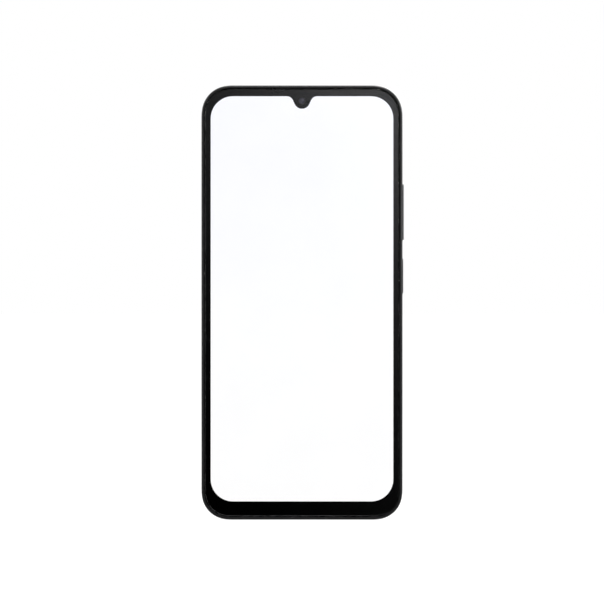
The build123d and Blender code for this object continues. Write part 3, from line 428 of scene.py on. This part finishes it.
def turned(profile, centre, about=Y, steps=96, shape=None):
    """A solid of revolution from (radius, height) points in millimetres, its heights along about.
    The profile is a loop, or runs from the axis back to the axis. It may join an earlier shape."""
    shape = shape if shape is not None else bmesh.new()
    first = about.orthogonal().normalized()
    second = about.cross(first)
    rings = []
    for radius, height in profile:
        spokes = circle(radius, steps if radius else 1, first, second)
        rings.append([shape.verts.new(centre + (about * height + spoke) * MM) for spoke in spokes])
    skin(shape, rings, wrap=bool(profile[0][0]))
    return shape


def dome(radius, rise, edge, facing, steps=12):
    """The profile of a lens with one bulging side, on a rim as thick as edge, in millimetres."""
    sphere = (radius ** 2 + rise ** 2) / (2 * rise)
    sweep = math.asin(radius / sphere)
    turns = [sweep * i / steps for i in range(steps + 1)]
    cap = [(sphere * math.sin(a), facing * (rise - sphere * (1 - math.cos(a)))) for a in turns]
    return cap + [(radius, -facing * edge), (0, -facing * edge)]


def prism(shape, outline, along, start, end):
    """A straight bar: an outline of points, pushed from start to end along a direction."""
    rings = [[shape.verts.new(point + along * reach) for point in outline] for reach in (start, end)]
    skin(shape, rings, wrap=False)
    for ring in rings:
        shape.faces.new(ring)


def strand(shape, points, across, through, radius, sides=6):
    """A wire along points, closed at both ends; across and through span its cross-section."""
    section = circle(radius, sides, across, through)
    rings = [[shape.verts.new(point + corner) for corner in section] for point in points]
    skin(shape, rings, wrap=False)
    shape.faces.new(rings[0])
    shape.faces.new(rings[-1])


def weave(name, node, right, up, pitch, radius):
    """A woven wire mesh that stands for a flat CAD sheet: right and up are the sheet's own axes."""
    shape = bmesh.new()
    centre, half = middle(node), half_sizes(node)
    through = right.cross(up)
    half_right, half_up = abs(half.dot(right)), abs(half.dot(up))
    columns, rows = round(2 * half_right / pitch), max(3, round(2 * half_up / pitch))
    step_right, step_up = 2 * half_right / columns, 2 * half_up / rows
    sway = radius * 1.05

    def wire(along, across, count, step, fixed, turn):
        """One wire that passes over and under the wires it crosses."""
        points = []
        for place in range(-1, 2 * count + 2):
            lift = math.sin(math.pi * (place / 2 + turn)) * sway
            at = min(max((place / 2) * step, 0), count * step) - count * step / 2
            points.append(centre + along * at + across * fixed + through * lift)
        strand(shape, points[1:-1], across, through, radius)

    for row in range(rows):
        wire(right, up, columns, step_right, (row + 0.5) * step_up - half_up, row)
    for column in range(columns):
        wire(up, right, rows, step_up, (column + 0.5) * step_right - half_right, column + 1)
    piece = add_piece(name, shape, "mesh_black")
    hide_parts(node)


weave("earpiece_weave", "earpiece_mesh", X, Z, 0.16 * MM, 0.045 * MM)
weave("speaker_weave", "speaker_mesh", X, Y, 0.22 * MM, 0.05 * MM)


def window_mask(name, lens, inner):
    """The black print just inside a camera window's inner face, with a stepped cone down to the lens:
    inner is the cone's small radius in millimetres."""
    outer, rim, depth = 4.55, 6.7, -0.32
    loop = [(inner, 0.03), (rim, 0.03), (rim, 0.01), (outer, 0.01), (outer, depth),
            (inner + 0.75, depth), (inner + 0.5, -0.2), (inner + 0.25, -0.2), (inner, -0.08)]
    at = Vector((lens.x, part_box("camera_windows")[0].y, lens.z))
    add_piece(name, turned(loop, at), "border_ink")


def camera_optics(name, mouth_y, seat_radius, seat_depth, body, centre, heart, ring):
    """The front element and its retaining ring in a rear camera's dished mouth. The seat's radius and
    depth are in millimetres; heart is the lens's dark colour, and ring the colour of its painted
    highlight, a painted glint in the coat's tint."""
    at = Vector((centre.x, mouth_y, centre.z))
    lens_radius = seat_radius - 0.12
    coating_and_glint = coated_lens(name + "_coating", heart, ring, at, lens_radius * MM)
    lens = turned(dome(lens_radius, 0.4, 0.2, 1), at + Y * (0.32 - seat_depth) * MM)
    add_piece(name + "_element", lens, "lens_glass", body, coating_and_glint)
    bore, rim = seat_radius - 0.1, seat_radius + 0.28
    back, edge, top = -seat_depth + 0.46, -seat_depth + 0.56, -seat_depth + 0.62
    loop = [(bore, back), (bore, edge), (seat_radius + 0.05, top), (rim - 0.14, top), (rim - 0.02, edge),
            (rim - 0.1, back)]
    add_piece(name + "_retainer", turned(loop, at), "camera_steel", body)


main_at, second_at = middle("main_camera_barrel"), middle("second_camera_module")
window_mask("main_camera_mask", main_at, 3.3)
window_mask("second_camera_mask", second_at, 2.6)
# Painted highlights: each lens's second colour is a painted glint ring, purple on the main lens and green
# on the second.
camera_optics("main_camera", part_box("main_camera_barrel")[1].y, 2.24, 0.8, "focus_barrel", main_at,
              (0.008, 0.006, 0.030), (0.14, 0.07, 0.42))
camera_optics("second_camera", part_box("second_camera_module")[1].y, 1.6, 0.7, "phone", second_at,
              (0.006, 0.020, 0.020), (0.05, 0.30, 0.20))

# The flash has a Fresnel disc and a reflector between its lamp and its window.
flash_at = middle("flash_window")
flash_at.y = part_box("flash_window")[0].y
ridge_pitch, ridge_count = 0.25, 9
fresnel = [(0, -0.02)]
for count in range(1, ridge_count + 1):
    fresnel += [(ridge_pitch * count - 0.01, -0.07), (ridge_pitch * count, -0.01)]
fresnel += [(2.40, -0.05), (2.40, -0.08), (0, -0.08)]
add_piece("flash_fresnel", turned(fresnel, flash_at), "flash_lens")
bowl = [(1.62, -0.32), (1.62, -0.26), (1.75, -0.26), (2.38, -0.10), (2.46, -0.10), (2.46, -0.14),
        (1.80, -0.32)]
add_piece("flash_reflector", turned(bowl, flash_at), "tape_white")

# The front camera has a domed lens, and a thin ring at the mouth of its barrel.
front_at = middle("front_camera_lens")
front_at.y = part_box("front_camera_lens")[0].y
add_piece("front_camera_dome", turned(dome(1.14, 0.35, 0.02, -1), front_at - Y * 0.04 * MM), "lens_glass")
front_at.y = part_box("front_camera_module")[0].y
mouth_ring = [(1.28, 0.30), (1.28, 0.22), (1.36, 0.18), (1.44, 0.22), (1.44, 0.30)]
add_piece("front_camera_ring", turned(mouth_ring, front_at), "camera_steel")

# Twelve gold contacts on each face of the charging port's tongue.
contact_count, contact_pitch, contact_root = 12, 0.5, 4.3
half_tongue = 0.35 * MM  # half the tongue's thickness
tongue_at = middle("usb_tongue")
tongue_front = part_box("usb_tongue")[0].z
section = [(-0.125, -0.01), (0.125, -0.01), (0.125, 0.02), (0.09, 0.04), (-0.09, 0.04), (-0.125, 0.02)]
contacts = bmesh.new()
for side in (-1, 1):
    for place in range(contact_count):
        x = (place - (contact_count - 1) / 2) * contact_pitch * MM
        length = 3.9 if place in (0, 3, 8, 11) else 3.5  # power and ground stand further forward
        outline = [Vector((x + across * MM, tongue_at.y + side * (half_tongue + out * MM), tongue_front))
                   for across, out in section]
        prism(contacts, outline, Z, (contact_root - length) * MM, contact_root * MM)
add_piece("usb_contacts", contacts, "mic_can")

DOME_RADIUS = 1.1  # millimetres, as in CAD
DOME_SHEET = 0.06


def snap_domes(name, node, places):
    """The snap domes under a side key, at these heights: thin caps, which on the real phone flatten as
    the key presses but here keep their shape.
    """
    low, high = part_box(node)
    rise = (high.x - low.x) / MM
    shares = [step / 8 for step in range(9)]
    crown = [(DOME_RADIUS * share, DOME_SHEET + (rise - DOME_SHEET) * math.cos(math.pi / 2 * share))
             for share in shares]
    hollow = [(max(0, radius - DOME_SHEET), height - DOME_SHEET) for radius, height in crown]
    shape = bmesh.new()
    for z in places:
        turned(crown + hollow[::-1], Vector((low.x, middle(node).y, z)), X, 48, shape)
    domes = add_piece(name, shape, "dome_steel")
    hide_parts(node)
    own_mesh(domes)


dome_low, dome_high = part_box("volume_domes")
dome_places = (dome_low.z + DOME_RADIUS * MM, dome_high.z - DOME_RADIUS * MM)
snap_domes("volume_snap_domes", "volume_domes", dome_places)
snap_domes("power_snap_dome", "power_dome", (middle("power_dome").z,))

# A fine dished screen near the inner end of each microphone hole.
mic_low, mic_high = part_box("microphones")
half_mic = 1.5 * MM  # half a microphone's width: its hole is at the middle of it
screens = (("bottom", Vector((mic_low.x + half_mic, mic_low.y + 0.45 * MM, body_low.z)), Z, 0.5),
           ("top", Vector((mic_high.x - half_mic, mic_high.y - 0.5 * MM, body_high.z)), -Z, 0.45))
for name, mouth, inwards, radius in screens:
    edge = radius - 0.01
    disc = [(0, 1.1), (radius - 0.12, 1.1), (radius - 0.08, 1.0), (edge, 1.0), (edge, 1.3), (0, 1.3)]
    add_piece(name + "_microphone_screen", turned(disc, mouth, inwards, steps=48), "mesh_black")

# Sprung contacts along the wall of the headphone socket, as bent leaves: the side of the bore and the
# depth of each, and a leaf's outline, in millimetres.
jack_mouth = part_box("headphone_jack")[1].z
jack_at = middle("headphone_jack")
leaf = [(1.85, 1.1), (1.62, 0.25), (1.55, 0), (1.62, -0.25), (1.85, -1.1),
        (1.93, -1.1), (1.70, -0.25), (1.63, 0), (1.70, 0.25), (1.93, 1.1)]
half_leaf = 0.35 * MM
springs = bmesh.new()
for side, depth in ((1, 2.6), (-1, 4.6), (1, 7.0), (-1, 10.2)):
    outline = [Vector((jack_at.x + side * out * MM, jack_at.y, jack_mouth - (depth - up) * MM))
               for out, up in leaf]
    prism(springs, outline, Y, -half_leaf, half_leaf)
add_piece("jack_springs", springs, "mic_can")


# ---- Studio ----

PHONE_SHARE = 0.7193  # of the picture's height
AIM_ABOVE = 0.2 * MM  # the camera looks just above the middle of the phone
CAMERA_DISTANCE = 1.2
SENSOR = 36.0
view_height = body_height / PHONE_SHARE

camera_data = bpy.data.cameras.new("camera")
camera_data.sensor_width = SENSOR
camera_data.lens = SENSOR * CAMERA_DISTANCE / view_height
camera_data.clip_start, camera_data.clip_end = 0.01, 100
camera = bpy.data.objects.new("camera", camera_data)
camera.location = body_centre + Vector((0, -CAMERA_DISTANCE, AIM_ABOVE))
camera.rotation_euler = (math.radians(90), 0, 0)
bpy.context.scene.collection.objects.link(camera)
bpy.context.scene.camera = camera
bpy.context.scene.view_settings.view_transform = "Standard"


def rectangle(name, across, up):
    """A flat rectangle that reaches as far as across and up, either way from its middle."""
    mesh = bpy.data.meshes.new(name)
    mesh.from_pydata([-across - up, across - up, across + up, up - across], [], [(0, 1, 2, 3)])
    made = bpy.data.objects.new(name, mesh)
    bpy.context.scene.collection.objects.link(made)
    return made


def make_world():
    """White to the eye; as light, bright above and to the right and dim below and to the left."""
    world = bpy.data.worlds.new("studio")
    bpy.context.scene.world = world
    world.use_nodes = True
    world.node_tree.nodes.clear()
    sky = Nodes(world.node_tree)
    brightest = Vector((0.35, 0.35, 0.87)).normalized()
    towards = sky.vector("DOT_PRODUCT", sky.coordinates.outputs["Generated"], brightest)["Value"]
    levels = ((0, 0.35), (0.12, 0.28), (0.30, 0.08), (0.42, 0.10), (0.55, 0.35), (0.8, 0.8), (1, 1))
    stops = [(position, (level, level, level)) for position, level in levels]
    light, plain = sky.node("ShaderNodeBackground"), sky.node("ShaderNodeBackground")
    sky.link(sky.ramp(sky.span(towards, 0, 1, low=-1), *stops), light.inputs["Color"])
    plain.inputs["Color"].default_value = (1, 1, 1, 1)
    seen = sky.node("ShaderNodeLightPath").outputs["Is Camera Ray"]
    out = sky.node("ShaderNodeOutputWorld")
    sky.link(sky.either(seen, light.outputs[0], plain.outputs[0]), out.inputs["Surface"])


def make_floor():
    """A pale floor, lit from within enough to meet the white surroundings without a line, and clear
    from below."""
    reach, drop, glow = 20.0, 0.01 * MM, 0.94
    floor = rectangle("floor", X * reach, Y * reach)
    floor.location.z = body_low.z - drop
    look = Look("floor", Roughness=0.9, Emission_Color=(1, 1, 1, 1), Emission_Strength=glow)
    look.tint((0.06, 0.06, 0.06), 0.05, look.noise(0.2))
    under = look.node("ShaderNodeNewGeometry").outputs["Backfacing"]
    clear = look.node("ShaderNodeBsdfTransparent")
    surface = look.either(under, look.shader.outputs[0], clear.outputs[0])
    look.link(surface, look.tree.nodes["Material Output"].inputs["Surface"])
    floor.data.materials.append(look.material)
    floor.visible_diffuse = False
    floor.visible_glossy = False
    floor.visible_transmission = False


def make_reflection_card():
    """A large card behind the camera, bright at its upper right and black at its lower left, which
    the front glass mirrors."""
    distance = CAMERA_DISTANCE + 0.3
    card = rectangle("reflection_card", X * 0.5, Z * 0.6)
    card.location = body_centre + Vector((0, -distance, 0))
    material = bpy.data.materials.new("reflection_card")
    material.use_nodes = True
    material.node_tree.nodes.clear()
    look = Nodes(material.node_tree)
    mirrored = 1 + distance / CAMERA_DISTANCE  # the glass shows this many times its own size of card
    half_width, half_height = body_high.x * mirrored, body_height / 2 * mirrored
    brightest = (0.45 / half_width, 0, 1 / half_height)
    place = look.coordinates.outputs["Object"]
    towards = look.vector("DOT_PRODUCT", place, brightest)["Value"]
    levels = ((0, 0), (0.133, 0.003), (0.267, 0.02), (0.4, 0.045), (0.467, 0.065), (0.533, 0.10),
              (0.667, 0.18), (0.733, 0.27), (0.8, 0.40), (0.867, 0.60), (0.933, 0.71))
    stops = [(position, (level * 0.98, level * 0.99, level * 1.03)) for position, level in levels]
    stops.append((1, (0.80, 0.80, 0.82)))
    glow, out = look.node("ShaderNodeEmission"), look.node("ShaderNodeOutputMaterial")
    look.link(look.ramp(look.span(towards, 0, 1, -1.5, 1.5), *stops), glow.inputs["Color"])
    look.link(glow.outputs[0], out.inputs["Surface"])
    card.data.materials.append(material)
    card.visible_camera = False


def make_softbox(name, place, size, power):
    """A rectangular light at a place counted from the middle of the phone, aimed back at it."""
    data = bpy.data.lights.new(name, "AREA")
    data.shape = "RECTANGLE"
    data.size, data.size_y = size
    data.energy = power
    light = bpy.data.objects.new(name, data)
    light.location = body_centre + Vector(place)
    light.rotation_euler = (-Vector(place)).to_track_quat("-Z", "Y").to_euler()
    light.visible_camera = False
    bpy.context.scene.collection.objects.link(light)


make_world()
make_floor()
make_reflection_card()
make_softbox("overhead", (0.15, 0.05, 1.0), (0.8, 0.5), 9)
make_softbox("right_side", (0.70, -0.10, 0.30), (0.3, 0.7), 4.9)
make_softbox("rear_fill", (0.40, 1.0, 0.50), (0.35, 0.7), 8)
make_softbox("left_side", (-0.80, -0.06, 0.30), (0.3, 0.8), 4.3)
